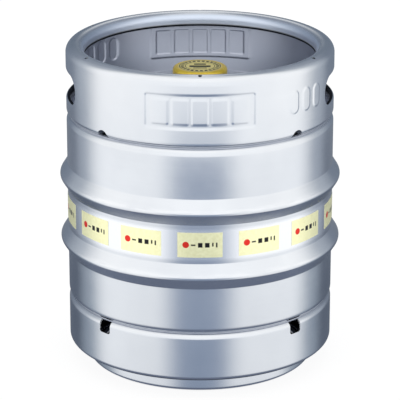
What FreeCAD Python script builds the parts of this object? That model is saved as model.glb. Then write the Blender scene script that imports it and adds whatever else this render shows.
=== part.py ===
"""A twenty-litre stainless steel beer keg with a spring-loaded spear valve and a push-on dust cap.

Millimetres, +Z up, origin on the axis at the foot. The front of the keg faces -Y and its two hand
holes face +X and -X. An azimuth is measured about +Z from the front, positive towards +X.
"""
import FreeCAD, Part
import math
import os

V = FreeCAD.Vector
AXIS = V(0, 0, 1)
CENTRE = V(0, 0, 0)

# Pressure vessel: two deep-drawn halves welded at mid height.
BODY_R = 159.0                # outer radius of the barrel and of both chimes
SHELL_T = 1.5                 # sheet thickness of the two halves
GIRTH_Z = 189.5               # height of the girth weld
GIRTH_W = 3.0                 # width of the girth weld
CROWN_TOP_Z = 344.0           # outer top of the upper head
CROWN_BOTTOM_Z = 40.6         # outer bottom of the lower head
CROWN_R = 318.0               # outer crown radius of both heads
CROWN_SLOPE = 25.0            # slope where the crown runs into the knuckle, degrees
KNUCKLE_R = 10.0              # bend between head and wall
SUMP_R = 24.0                 # dimple under the dip tube
SUMP_DEPTH = 4.0
HOOP_UPPER_Z = 229.8
HOOP_LOWER_Z = 151.9
HOOP_HALF = 15.1              # half height of a rolling hoop where it leaves the wall
HOOP_SLOPE = 32.5             # slope of the hoop's flanks from the wall, degrees
HOOP_BEND = 4.7               # bend along the hoop's crest
HOOP_FOOT_BEND = 2.5          # bend where the flank leaves the wall

# Chimes: pressed rings welded to the heads.
CHIME_T = 2.0
CHIME_BEND = 5.0              # inward roll of a chime's welded edge
CHIME_EDGE_R = 153.9          # middle of the welded edge
CHIME_EDGE_RISE = 4.1         # how far that edge stands from the bend's corner
UPPER_EDGE_Z = 305.6
LOWER_EDGE_Z = 79.0
RIM_TOP_Z = 390.0
RIM_R = 10.8                  # outer radius of the rolled rim
RIM_LIP_Z = 372.6             # lower end of the rim's inner lip
SHELF_Z = 20.9                # underside of the shelf that stacks on another keg's rim
SHELF_BEND = 5.5
FOOT_R = 136.2                # outer radius of the foot ring
FOOT_BEND = 3.5
FOOT_FLAT = 11.0              # from the foot wall to the foot's inner hem
FOOT_HEM_Z = 9.0
WELD_R = 1.8                  # radius of a fillet weld bead

# Openings and pressed marks in the upper chime.
HANDLE_Z = 343.0
HANDLE_HALF_W = 62.8
HANDLE_HALF_H = 16.9
HANDLE_LIP_T = 2.0
HANDLE_LIP_DEPTH = 3.0
HANDLE_AZIMUTHS = (90.0, -90.0)
DRAIN_AZIMUTHS = (45.0, 135.0, 225.0, 315.0)
DRAIN_R = 8.6                 # radius of the arched drain holes above the upper seam
VENT_COUNT = 6
VENT_R = 2.25                 # vent holes into the hollow rim
VENT_TILT = 15.0              # how far outside the rim's top they lie, degrees
PRESS_DEPTH = 1.2             # depth of the pressed panel and of the raised bars
PANEL_AZIMUTHS = (0.0, 180.0)
PANEL_HALF_W = 62.2
PANEL_LOW_Z = 328.6
PANEL_HIGH_Z = 368.6
PANEL_CORNER_R = 2.5
PATTERN_HALF_H = 14.8
BLOCK_W = 18.4                # width of one of the five raised blocks of a panel
BLOCK_PITCH = 23.0
MARK_AZIMUTHS = (50.0, 230.0)
MARK_Z = 348.9
MARK_HALF_H = 13.5
MARK_BAR_HALF_W = 6.5
MARK_PITCH = 20.4

# Slots in the lower chime.
SLOT_HALF_W = 8.6
SLOT_LOW_Z = 64.1
SLOT_CORNER_R = 3.0

# Labels on the flat of the barrel between the hoops.
LABEL_COUNT = 14
LABEL_ANGLE = 18.8
LABEL_T = 0.25
LABEL_LOW_Z = 175.5
LABEL_HIGH_Z = 205.5

# Valve neck and the fixed half of the valve.
NECK_R = 31.0
NECK_BORE_R = 27.0
NECK_LOW_Z = 317.4
NECK_TOP_Z = 354.9
NECK_CHAMFER = 0.8
LEDGE_R = 23.5                # hole through the ledge that carries the valve body
LEDGE_T = 3.0
CLIP_GROOVE_R = 28.6
CLIP_LOW_Z = 350.4
CLIP_HIGH_Z = 352.4
CLIP_IN_R = 24.9
CLIP_OUT_R = 28.4
CLIP_SLACK = 0.1
CLIP_GAP = 16.0               # open angle of the retaining ring, degrees
CLIP_EYE_R = 0.9
BODY_FIT = 0.1                # radial clearance of the valve body in the neck
COLLAR_R = 24.6               # top of the valve body, inside the retaining ring
LUG_LIP_R = 20.5              # lip that the coupler's lugs turn under
LUG_LIP_T = 3.0
LUG_GROOVE_R = 23.0
LUG_GROOVE_LOW_Z = 345.4
LUG_SLOT_ANGLE = 40.0
WELL_R = 19.5                 # bore that takes the coupler's probe
SEAT_TOP_Z = 332.4
SEAT_Z = 329.4                # underside of the seat, where the gas seal closes
SEAT_R = 16.0
CHAMBER_R = 21.5
SKIRT_R = 23.2
SKIRT_LOW_Z = 311.4
O_RING_Z = 326.9
O_RING_MID_R = 25.75
O_RING_SECTION_R = 1.15
O_RING_GROOVE_R = 24.5
O_RING_GROOVE_HALF = 1.4

# Cage that holds the main spring, snapped into the valve body's skirt.
CAGE_R = 21.4
CAGE_IN_R = 19.8
CAGE_TOP_Z = 316.4
CAGE_RING_LOW_Z = 310.4
CAGE_FLOOR_Z = 285.4          # top of the cage floor, the seat of the main spring
CAGE_FLOOR_T = 2.0
CAGE_HOLE_R = 8.0
CAGE_LEGS = 3
CAGE_LEG_HALF_W = 5.0
DOG_HALF_W = 3.0
DOG_LOW_Z = 312.4
DOG_HIGH_Z = 315.4
DOG_SLACK = 0.2

# Moving half of the valve: seal, cup and dip tube.
SEAL_R = 19.0
SEAL_BOSS_R = 15.2
SEAL_BOSS_Z = 332.2
SEAL_LOW_Z = 324.4
SEAL_HOLE_R = 5.2
SEAL_GAP = 0.05               # between the seal and its seat
CORE_IN_R = 8.0
CORE_OUT_R = 17.5
CORE_TOP_Z = 326.4
CUP_FLANGE_R = 18.5
CUP_FLANGE_T = 2.0
CUP_BORE_R = 8.4
CUP_WALL = 1.2
CUP_FLOOR_Z = 300.4
CUP_LOW_Z = 294.4
TUBE_R = 7.5
TUBE_BORE_R = 6.5
TUBE_LOW_Z = 54.0
TUBE_NOTCH_R = 4.0            # side notches at the tube's open end
BALL_R = 7.4
BALL_Z = 319.0

MAIN_SPRING_R = 14.0          # to the middle of the wire
MAIN_WIRE_R = 1.1
MAIN_TURNS = 6
BEER_SPRING_R = 5.4
BEER_WIRE_R = 0.5
BEER_TURNS = 5
BEER_SPRING_TOP_Z = 312.6

# Dust cap.
CAP_R = 33.0
CAP_BORE_R = 31.3
CAP_TOP_Z = 359.4
CAP_LOW_Z = 346.9
CAP_TOP_T = 1.6
CAP_SHOULDER_R = 5.5
DISC_R = 26.0
DISC_T = 0.4
LINER_R = 28.0
LINER_LOW_Z = 355.4


def revolve(face, angle=360.0):
    """The solid swept by a face in the XZ plane about the keg's axis."""
    return face.revolve(CENTRE, AXIS, angle)


def turned(points):
    """A solid of revolution with straight-sided section; points are (radius, height)."""
    outline = [V(r, 0, z) for r, z in points]
    return revolve(Part.Face(Part.makePolygon(outline + outline[:1])))


def washer(r_in, r_out, z_low, z_high):
    """A plain ring about the keg's axis."""
    outer = Part.makeCylinder(r_out, z_high - z_low, V(0, 0, z_low))
    return outer.cut(Part.makeCylinder(r_in, z_high - z_low, V(0, 0, z_low)))


def left_of(direction):
    """The unit vector in the XZ plane a quarter turn left of a direction."""
    return V(-direction.z, 0, direction.x)


def offset_edges(corners, shift):
    """Edges of a bent path moved sideways by shift; corners are (radius, height, bend radius)."""
    points = [V(r, 0, z) for r, z, _ in corners]
    runs = [(b - a).normalize() for a, b in zip(points, points[1:])]
    edges = []
    start = points[0] + left_of(runs[0]) * shift
    for k in range(1, len(corners) - 1):
        before, after = runs[k - 1], runs[k]
        turn = math.atan2(before.x * after.z - before.z * after.x, before.dot(after))
        bend = corners[k][2]
        reach = bend * math.tan(abs(turn) / 2)
        centre = points[k] - before * reach + left_of(before) * math.copysign(bend, turn)
        outward = math.copysign(bend, turn) - shift
        entry = centre - left_of(before) * outward
        leave = centre - left_of(after) * outward
        halfway = (left_of(before) + left_of(after)).normalize()
        if (entry - start).Length > 1e-6:
            edges.append(Part.makeLine(start, entry))
        edges.append(Part.Arc(entry, centre - halfway * outward, leave).toShape())
        start = leave
    end = points[-1] + left_of(runs[-1]) * shift
    if (end - start).Length > 1e-6:
        edges.append(Part.makeLine(start, end))
    return edges, points[0] + left_of(runs[0]) * shift, end


def sheet_ring(corners, thickness):
    """A ring of bent sheet metal: the thickness is laid evenly about the path of its middle."""
    left, left_start, left_end = offset_edges(corners, thickness / 2)
    right, right_start, right_end = offset_edges(corners, -thickness / 2)
    edges = left + right
    for a, b in ((left_start, right_start), (left_end, right_end)):
        if (a - b).Length > 1e-6:
            edges.append(Part.makeLine(a, b))
    wire = Part.Wire(Part.__sortEdges__(edges))
    return revolve(Part.Face(wire))


def outline_face(edges):
    """A face from edges in any order."""
    return Part.Face(Part.Wire(Part.__sortEdges__(edges)))


def polygon_face(points):
    """A flat face drawn on the front: points are (sideways, height)."""
    outline = [V(u, 0, z) for u, z in points]
    return Part.Face(Part.makePolygon(outline + outline[:1]))


def rounded_rectangle(half_w, z_low, z_high, corner):
    """A rounded rectangle drawn on the front, centred on the axis."""
    edges = []
    for u, z, a in ((half_w, z_low, -90), (half_w, z_high, 0), (-half_w, z_high, 90), (-half_w, z_low, 180)):
        cu = u - math.copysign(corner, u)
        cz = z + corner if z == z_low else z - corner
        arc = [V(cu + corner * math.cos(math.radians(a + d)), 0, cz + corner * math.sin(math.radians(a + d)))
               for d in (0, 45, 90)]
        edges.append(Part.Arc(*arc).toShape())
    ends = [(e.Vertexes[0].Point, e.Vertexes[-1].Point) for e in edges]
    for k in range(4):
        a, b = ends[k][1], ends[(k + 1) % 4][0]
        if (a - b).Length > 1e-6:
            edges.append(Part.makeLine(a, b))
    return outline_face(edges)


def stadium(half_w, half_h, z, u=0.0):
    """A slot outline with round ends, long sideways or upright."""
    r = min(half_w, half_h)
    du, dz = half_w - r, half_h - r
    if du > dz:
        ends = [V(u + du, 0, z), V(u - du, 0, z)]
        side = V(0, 0, r)
        out = V(r, 0, 0)
    else:
        ends = [V(u, 0, z + dz), V(u, 0, z - dz)]
        side = V(-r, 0, 0)
        out = V(0, 0, r)
    a, b = ends
    edges = [
        Part.Arc(a + side, a + out, a - side).toShape(),
        Part.makeLine(a - side, b - side),
        Part.Arc(b - side, b - out, b + side).toShape(),
        Part.makeLine(b + side, a + side),
    ]
    return outline_face(edges)


def radial_prism(face, r_in, r_out, azimuth):
    """A face drawn on the front, pushed through from r_out to r_in and turned to an azimuth."""
    solid = face.copy()
    solid.translate(V(0, -r_out, 0))
    solid = solid.extrude(V(0, r_out - r_in, 0))
    solid.rotate(CENTRE, AXIS, azimuth)
    return solid


def fused(shapes):
    """Several solids that touch, as one."""
    whole = shapes[0]
    for shape in shapes[1:]:
        whole = whole.fuse(shape)
    return whole.removeSplitter()


def head_corners(apex_z, up):
    """Wall corner and crown corner of a head's middle surface; up is 1 for the top, -1 for the bottom."""
    wall_r = BODY_R - SHELL_T / 2
    crown = CROWN_R - SHELL_T / 2
    corner_r = crown * math.tan(math.radians(CROWN_SLOPE) / 2)
    middle_z = apex_z - up * SHELL_T / 2
    wall_z = middle_z - up * (wall_r - corner_r) * math.tan(math.radians(CROWN_SLOPE))
    return [(wall_r, wall_z, KNUCKLE_R), (corner_r, middle_z, crown), (0.0, middle_z, 0.0)]


def hoop_corners(z, up):
    """Corners of a rolling hoop's middle surface, followed upwards or downwards."""
    wall_r = BODY_R - SHELL_T / 2
    crest_r = wall_r + HOOP_HALF * math.tan(math.radians(HOOP_SLOPE))
    return [
        (wall_r, z - up * HOOP_HALF, HOOP_FOOT_BEND),
        (crest_r, z, HOOP_BEND),
        (wall_r, z + up * HOOP_HALF, HOOP_FOOT_BEND),
    ]


def upper_shell():
    wall_r = BODY_R - SHELL_T / 2
    path = [(wall_r, GIRTH_Z + GIRTH_W / 2, 0.0)] + hoop_corners(HOOP_UPPER_Z, 1)
    shell = sheet_ring(path + head_corners(CROWN_TOP_Z, 1), SHELL_T)
    return shell.cut(Part.makeCylinder(NECK_R, SHELL_T * 4, V(0, 0, CROWN_TOP_Z - SHELL_T * 3)))


def lower_shell():
    wall_r = BODY_R - SHELL_T / 2
    path = [(wall_r, GIRTH_Z - GIRTH_W / 2, 0.0)] + hoop_corners(HOOP_LOWER_Z, -1)
    corners = head_corners(CROWN_BOTTOM_Z, -1)
    shell = sheet_ring(path + corners, SHELL_T)
    middle_z = CROWN_BOTTOM_Z + SHELL_T / 2
    opening = Part.makeCylinder(SUMP_R, SHELL_T * 6, V(0, 0, middle_z - SHELL_T * 3))
    edge_z = middle_z + CROWN_R - math.sqrt(CROWN_R ** 2 - SUMP_R ** 2)
    sump = sheet_ring(
        [
            (SUMP_R + SHELL_T / 2, edge_z, 0.0),
            (SUMP_R - SHELL_T, edge_z, SHELL_T),
            (SUMP_R - SHELL_T - SUMP_DEPTH, middle_z - SUMP_DEPTH, SHELL_T),
            (0.0, middle_z - SUMP_DEPTH, 0.0),
        ],
        SHELL_T,
    )
    return fused([shell.cut(opening), sump])


def girth_weld():
    half = GIRTH_W / 2
    return washer(BODY_R - SHELL_T, BODY_R, GIRTH_Z - half, GIRTH_Z + half)


def panel_pattern():
    """Five plain raised blocks in a row, which fill a pressed panel."""
    middle = (PANEL_LOW_Z + PANEL_HIGH_Z) / 2
    faces = []
    for k in (-2, -1, 0, 1, 2):
        u = k * BLOCK_PITCH
        faces.append(polygon_face([
            (u - BLOCK_W / 2, middle - PATTERN_HALF_H), (u + BLOCK_W / 2, middle - PATTERN_HALF_H),
            (u + BLOCK_W / 2, middle + PATTERN_HALF_H), (u - BLOCK_W / 2, middle + PATTERN_HALF_H),
        ]))
    return faces


def press_panel(chime, azimuth):
    """Press the panel inwards, all but its pattern, so that the sheet keeps its thickness."""
    panel = rounded_rectangle(PANEL_HALF_W, PANEL_LOW_Z, PANEL_HIGH_Z, PANEL_CORNER_R)
    inner_r = BODY_R - CHIME_T
    tool = radial_prism(panel, inner_r / 2, BODY_R * 1.1, azimuth)
    for face in panel_pattern():
        tool = tool.cut(radial_prism(face, inner_r / 3, BODY_R * 1.2, azimuth))
    recess = washer(BODY_R - PRESS_DEPTH, BODY_R + 1, PANEL_LOW_Z, PANEL_HIGH_Z).common(tool)
    pad = washer(inner_r - PRESS_DEPTH, inner_r + 0.2, PANEL_LOW_Z, PANEL_HIGH_Z).common(tool)
    return chime.fuse(pad).cut(recess)


def press_mark(chime, azimuth):
    """Three upright bars pressed outwards, where a capacity mark would stand."""
    inner_r = BODY_R - CHIME_T
    low, high = MARK_Z - MARK_HALF_H, MARK_Z + MARK_HALF_H
    for k in (-1, 0, 1):
        turn = azimuth + math.degrees(k * MARK_PITCH / BODY_R)
        bar = radial_prism(stadium(MARK_BAR_HALF_W, MARK_HALF_H, MARK_Z), BODY_R / 2, BODY_R * 1.1, turn)
        raised = washer(BODY_R - 0.2, BODY_R + PRESS_DEPTH, low, high).common(bar)
        pocket = washer(inner_r - 1, inner_r + PRESS_DEPTH, low, high).common(bar)
        chime = chime.fuse(raised).cut(pocket)
    return chime


def open_handle(chime, azimuth):
    """Cut a hand hole and fold its edge inwards as a lip."""
    lip_in_r = BODY_R - CHIME_T - HANDLE_LIP_DEPTH
    hole = stadium(HANDLE_HALF_W, HANDLE_HALF_H, HANDLE_Z)
    rim = stadium(HANDLE_HALF_W + HANDLE_LIP_T, HANDLE_HALF_H + HANDLE_LIP_T, HANDLE_Z)
    low = HANDLE_Z - HANDLE_HALF_H - HANDLE_LIP_T
    high = HANDLE_Z + HANDLE_HALF_H + HANDLE_LIP_T
    band = washer(lip_in_r, BODY_R - CHIME_T / 2, low, high)
    lip = band.common(radial_prism(rim, BODY_R / 2, BODY_R * 1.1, azimuth))
    cutter = radial_prism(hole, BODY_R / 2, BODY_R * 1.1, azimuth)
    return chime.fuse(lip).cut(cutter)


def upper_chime():
    wall_r = BODY_R - CHIME_T / 2
    rim_bend = RIM_R - CHIME_T / 2
    top = RIM_TOP_Z - CHIME_T / 2
    chime = sheet_ring(
        [
            (CHIME_EDGE_R, UPPER_EDGE_Z, 0.0),
            (wall_r, UPPER_EDGE_Z + CHIME_EDGE_RISE, CHIME_BEND),
            (wall_r, top, rim_bend),
            (wall_r - 2 * rim_bend, top, rim_bend),
            (wall_r - 2 * rim_bend, RIM_LIP_Z, 0.0),
        ],
        CHIME_T,
    )
    for azimuth in PANEL_AZIMUTHS:
        chime = press_panel(chime, azimuth)
    for azimuth in MARK_AZIMUTHS:
        chime = press_mark(chime, azimuth)
    for azimuth in HANDLE_AZIMUTHS:
        chime = open_handle(chime, azimuth)
    for azimuth in DRAIN_AZIMUTHS:
        chime = chime.cut(radial_prism(
            stadium(DRAIN_R, DRAIN_R + 1.0, UPPER_EDGE_Z - 1.0), BODY_R - 20, BODY_R + 5, azimuth))
    vent_r = BODY_R - RIM_R + RIM_R * math.sin(math.radians(VENT_TILT))
    for k in range(VENT_COUNT):
        vent = Part.makeCylinder(VENT_R, RIM_R, V(0, -vent_r, RIM_TOP_Z - RIM_R / 2))
        vent.rotate(CENTRE, AXIS, k * 360.0 / VENT_COUNT)
        chime = chime.cut(vent)
    return chime.removeSplitter()


def lower_chime():
    wall_r = BODY_R - CHIME_T / 2
    foot_r = FOOT_R - CHIME_T / 2
    shelf_z = SHELF_Z + CHIME_T / 2
    floor_z = CHIME_T / 2
    chime = sheet_ring(
        [
            (CHIME_EDGE_R, LOWER_EDGE_Z, 0.0),
            (wall_r, LOWER_EDGE_Z - CHIME_EDGE_RISE, CHIME_BEND),
            (wall_r, shelf_z, SHELF_BEND),
            (foot_r, shelf_z, SHELF_BEND),
            (foot_r, floor_z, FOOT_BEND),
            (foot_r - FOOT_FLAT, floor_z, FOOT_BEND - 0.5),
            (foot_r - FOOT_FLAT, FOOT_HEM_Z, 0.0),
        ],
        CHIME_T,
    )
    slot = rounded_rectangle(SLOT_HALF_W, SLOT_LOW_Z, LOWER_EDGE_Z + 10, SLOT_CORNER_R)
    for azimuth in DRAIN_AZIMUTHS:
        chime = chime.cut(radial_prism(slot, BODY_R - 20, BODY_R + 5, azimuth))
    return chime


def chime_weld(edge_z, up, chime, shell):
    """The fillet bead in the groove between a chime's edge and the knuckle of its head."""
    bead = Part.makeTorus(CHIME_EDGE_R + 0.4, WELD_R, V(0, 0, edge_z - up * 1.2))
    return largest(bead.cut(chime).cut(shell))


def largest(shape):
    """The biggest solid of a shape, without the slivers that a cut can leave."""
    return max(shape.Solids, key=lambda s: s.Volume)


def barrel_labels():
    labels = []
    step = 360.0 / LABEL_COUNT
    for k in range(LABEL_COUNT):
        face = Part.Face(Part.makePolygon([
            V(BODY_R, 0, LABEL_LOW_Z), V(BODY_R + LABEL_T, 0, LABEL_LOW_Z),
            V(BODY_R + LABEL_T, 0, LABEL_HIGH_Z), V(BODY_R, 0, LABEL_HIGH_Z), V(BODY_R, 0, LABEL_LOW_Z),
        ]))
        label = revolve(face, LABEL_ANGLE)
        label.rotate(CENTRE, AXIS, k * step - 90.0 - LABEL_ANGLE / 2)
        labels.append(label)
    return Part.makeCompound(labels)


def valve_neck():
    return turned([
        (LEDGE_R, NECK_LOW_Z), (NECK_R, NECK_LOW_Z),
        (NECK_R, NECK_TOP_Z - NECK_CHAMFER), (NECK_R - NECK_CHAMFER, NECK_TOP_Z),
        (NECK_BORE_R + NECK_CHAMFER, NECK_TOP_Z), (NECK_BORE_R, NECK_TOP_Z - NECK_CHAMFER),
        (NECK_BORE_R, CLIP_HIGH_Z), (CLIP_GROOVE_R, CLIP_HIGH_Z),
        (CLIP_GROOVE_R, CLIP_LOW_Z), (NECK_BORE_R, CLIP_LOW_Z),
        (NECK_BORE_R, NECK_LOW_Z + LEDGE_T), (LEDGE_R, NECK_LOW_Z + LEDGE_T),
    ])


def neck_weld(neck, shell):
    drop = CROWN_R - math.sqrt(CROWN_R ** 2 - NECK_R ** 2)
    bead = Part.makeTorus(NECK_R + 0.5, WELD_R, V(0, 0, CROWN_TOP_Z - drop + 0.4))
    return largest(bead.cut(neck).cut(shell))


def valve_body():
    outer_r = NECK_BORE_R - BODY_FIT
    shoulder_z = NECK_LOW_Z + LEDGE_T
    ring_low = O_RING_Z - O_RING_GROOVE_HALF
    ring_high = O_RING_Z + O_RING_GROOVE_HALF
    body = turned([
        (CHAMBER_R, SKIRT_LOW_Z), (SKIRT_R, SKIRT_LOW_Z), (SKIRT_R, shoulder_z), (outer_r, shoulder_z),
        (outer_r, ring_low), (O_RING_GROOVE_R, ring_low), (O_RING_GROOVE_R, ring_high), (outer_r, ring_high),
        (outer_r, CLIP_LOW_Z), (COLLAR_R, CLIP_LOW_Z), (COLLAR_R, NECK_TOP_Z),
        (LUG_LIP_R, NECK_TOP_Z), (LUG_LIP_R, NECK_TOP_Z - LUG_LIP_T),
        (LUG_GROOVE_R, NECK_TOP_Z - LUG_LIP_T), (LUG_GROOVE_R, LUG_GROOVE_LOW_Z),
        (WELL_R, LUG_GROOVE_LOW_Z), (WELL_R, SEAT_TOP_Z), (SEAT_R, SEAT_TOP_Z), (SEAT_R, SEAT_Z),
        (CHAMBER_R, SEAT_Z),
    ])
    for start in (-LUG_SLOT_ANGLE / 2, 180.0 - LUG_SLOT_ANGLE / 2):
        face = Part.Face(Part.makePolygon([
            V(LUG_LIP_R - 1, 0, NECK_TOP_Z - LUG_LIP_T), V(LUG_GROOVE_R, 0, NECK_TOP_Z - LUG_LIP_T),
            V(LUG_GROOVE_R, 0, NECK_TOP_Z + 1), V(LUG_LIP_R - 1, 0, NECK_TOP_Z + 1),
            V(LUG_LIP_R - 1, 0, NECK_TOP_Z - LUG_LIP_T),
        ]))
        slot = revolve(face, LUG_SLOT_ANGLE)
        slot.rotate(CENTRE, AXIS, start)
        body = body.cut(slot)
    window = polygon_face([
        (-DOG_HALF_W - DOG_SLACK, DOG_LOW_Z - DOG_SLACK), (DOG_HALF_W + DOG_SLACK, DOG_LOW_Z - DOG_SLACK),
        (DOG_HALF_W + DOG_SLACK, DOG_HIGH_Z + DOG_SLACK), (-DOG_HALF_W - DOG_SLACK, DOG_HIGH_Z + DOG_SLACK),
    ])
    for k in range(CAGE_LEGS):
        body = body.cut(radial_prism(window, CAGE_IN_R, SKIRT_R + 1, k * 360.0 / CAGE_LEGS))
    return body


def body_o_ring():
    return Part.makeTorus(O_RING_MID_R, O_RING_SECTION_R, V(0, 0, O_RING_Z))


def retaining_ring():
    """A snap ring with a gap at the back and a plier hole in each end."""
    ring = washer(CLIP_IN_R, CLIP_OUT_R, CLIP_LOW_Z + CLIP_SLACK, CLIP_HIGH_Z - CLIP_SLACK)
    face = Part.Face(Part.makePolygon([
        V(CLIP_IN_R - 1, 0, CLIP_LOW_Z), V(CLIP_OUT_R + 1, 0, CLIP_LOW_Z),
        V(CLIP_OUT_R + 1, 0, CLIP_HIGH_Z), V(CLIP_IN_R - 1, 0, CLIP_HIGH_Z), V(CLIP_IN_R - 1, 0, CLIP_LOW_Z),
    ]))
    gap = revolve(face, CLIP_GAP)
    gap.rotate(CENTRE, AXIS, 90.0 - CLIP_GAP / 2)
    ring = ring.cut(gap)
    middle_r = (CLIP_IN_R + NECK_BORE_R) / 2
    for side in (-1, 1):
        eye = Part.makeCylinder(CLIP_EYE_R, CLIP_HIGH_Z - CLIP_LOW_Z, V(middle_r, 0, CLIP_LOW_Z))
        eye.rotate(CENTRE, AXIS, 90.0 + side * (CLIP_GAP / 2 + 4.0))
        ring = ring.cut(eye)
    return ring


def valve_cage():
    ring = washer(CAGE_IN_R, CAGE_R, CAGE_RING_LOW_Z, CAGE_TOP_Z)
    floor = washer(CAGE_HOLE_R, CAGE_R, CAGE_FLOOR_Z - CAGE_FLOOR_T, CAGE_FLOOR_Z)
    band = washer(CAGE_IN_R, CAGE_R, CAGE_FLOOR_Z - CAGE_FLOOR_T, CAGE_TOP_Z)
    leg = polygon_face([
        (-CAGE_LEG_HALF_W, CAGE_FLOOR_Z - CAGE_FLOOR_T), (CAGE_LEG_HALF_W, CAGE_FLOOR_Z - CAGE_FLOOR_T),
        (CAGE_LEG_HALF_W, CAGE_TOP_Z), (-CAGE_LEG_HALF_W, CAGE_TOP_Z),
    ])
    dog = polygon_face([
        (-DOG_HALF_W, DOG_LOW_Z), (DOG_HALF_W, DOG_LOW_Z), (DOG_HALF_W, DOG_HIGH_Z), (-DOG_HALF_W, DOG_HIGH_Z),
    ])
    dog_band = washer(CAGE_IN_R, SKIRT_R, DOG_LOW_Z, DOG_HIGH_Z)
    pieces = [ring, floor]
    for k in range(CAGE_LEGS):
        turn = k * 360.0 / CAGE_LEGS
        pieces.append(band.common(radial_prism(leg, CAGE_IN_R - 2, CAGE_R + 2, turn)))
        pieces.append(dog_band.common(radial_prism(dog, CAGE_IN_R - 2, SKIRT_R + 2, turn)))
    return fused(pieces)


def gas_seal():
    """The rubber seal: its outer flange closes on the seat and its centre hole on the ball."""
    top = SEAT_Z - SEAL_GAP
    rubber = turned([
        (SEAL_HOLE_R, SEAL_LOW_Z), (CORE_IN_R, SEAL_LOW_Z), (CORE_IN_R, CORE_TOP_Z),
        (CORE_OUT_R, CORE_TOP_Z), (CORE_OUT_R, SEAL_LOW_Z), (SEAL_R, SEAL_LOW_Z),
        (SEAL_R, top), (SEAL_BOSS_R, top), (SEAL_BOSS_R, SEAL_BOSS_Z - 1.0), (SEAL_BOSS_R - 1.0, SEAL_BOSS_Z),
        (SEAL_HOLE_R + 3.0, SEAL_BOSS_Z), (SEAL_HOLE_R, SEAL_BOSS_Z - 3.0),
    ])
    return rubber


def seal_core():
    return washer(CORE_IN_R, CORE_OUT_R, SEAL_LOW_Z, CORE_TOP_Z)


def spear_cup():
    flange_low = SEAL_LOW_Z - CUP_FLANGE_T
    outer = CUP_BORE_R + CUP_WALL
    sleeve = TUBE_R + CUP_WALL
    cup = turned([
        (CUP_BORE_R, SEAL_LOW_Z), (CUP_FLANGE_R, SEAL_LOW_Z), (CUP_FLANGE_R, flange_low),
        (outer, flange_low), (outer, CUP_FLOOR_Z), (sleeve, CUP_FLOOR_Z - CUP_WALL),
        (sleeve, CUP_LOW_Z), (TUBE_R, CUP_LOW_Z), (TUBE_R, CUP_FLOOR_Z), (CUP_BORE_R, CUP_FLOOR_Z),
    ])
    return cup


def spear_tube():
    """The dip tube, from the cup's floor down to the sump, with two notches at its open end."""
    tube = washer(TUBE_BORE_R, TUBE_R, TUBE_LOW_Z, CUP_FLOOR_Z)
    for azimuth in (0.0, 90.0):
        notch = Part.makeCylinder(TUBE_NOTCH_R, 4 * TUBE_R, V(0, -2 * TUBE_R, TUBE_LOW_Z), V(0, 1, 0))
        notch.rotate(CENTRE, AXIS, azimuth)
        tube = tube.cut(notch)
    return tube


def coil_spring(mid_r, wire_r, z_low, z_high, turns):
    """A compression spring between two heights."""
    height = z_high - z_low - 2 * wire_r
    helix = Part.makeHelix(height / turns, height, mid_r)
    section = Part.Wire(Part.makeCircle(wire_r, V(mid_r, 0, 0), V(0, 1, 0)))
    spring = Part.Wire(helix).makePipeShell([section], True, True)
    spring.translate(V(0, 0, z_low + wire_r))
    return spring


def main_spring():
    return coil_spring(MAIN_SPRING_R, MAIN_WIRE_R, CAGE_FLOOR_Z, SEAL_LOW_Z - CUP_FLANGE_T, MAIN_TURNS)


def beer_spring():
    return coil_spring(BEER_SPRING_R, BEER_WIRE_R, CUP_FLOOR_Z, BEER_SPRING_TOP_Z, BEER_TURNS)


def beer_ball():
    return Part.makeSphere(BALL_R, V(0, 0, BALL_Z))


def cap_shell():
    """The push-on cap: rounded shoulder, skirt over the neck and a shallow seat for its disc."""
    r = CAP_SHOULDER_R
    slant = r * math.sqrt(0.5)
    under = CAP_TOP_Z - CAP_TOP_T
    edges = [
        Part.makeLine(V(CAP_BORE_R, 0, CAP_LOW_Z), V(CAP_R, 0, CAP_LOW_Z)),
        Part.makeLine(V(CAP_R, 0, CAP_LOW_Z), V(CAP_R, 0, CAP_TOP_Z - r)),
        Part.Arc(
            V(CAP_R, 0, CAP_TOP_Z - r), V(CAP_R - r + slant, 0, CAP_TOP_Z - r + slant), V(CAP_R - r, 0, CAP_TOP_Z),
        ).toShape(),
    ]
    corners = [
        (CAP_R - r, CAP_TOP_Z), (DISC_R, CAP_TOP_Z), (DISC_R, CAP_TOP_Z - DISC_T), (0.0, CAP_TOP_Z - DISC_T),
        (0.0, under), (LINER_R, under), (CAP_BORE_R, under - CAP_TOP_T), (CAP_BORE_R, CAP_LOW_Z),
    ]
    points = [V(a, 0, b) for a, b in corners]
    edges += [Part.makeLine(a, b) for a, b in zip(points, points[1:])]
    return revolve(outline_face(edges))


def cap_disc():
    return Part.makeCylinder(DISC_R, DISC_T, V(0, 0, CAP_TOP_Z - DISC_T))


def cap_liner():
    return Part.makeCylinder(LINER_R, CAP_TOP_Z - CAP_TOP_T - LINER_LOW_Z, V(0, 0, LINER_LOW_Z))


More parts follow.
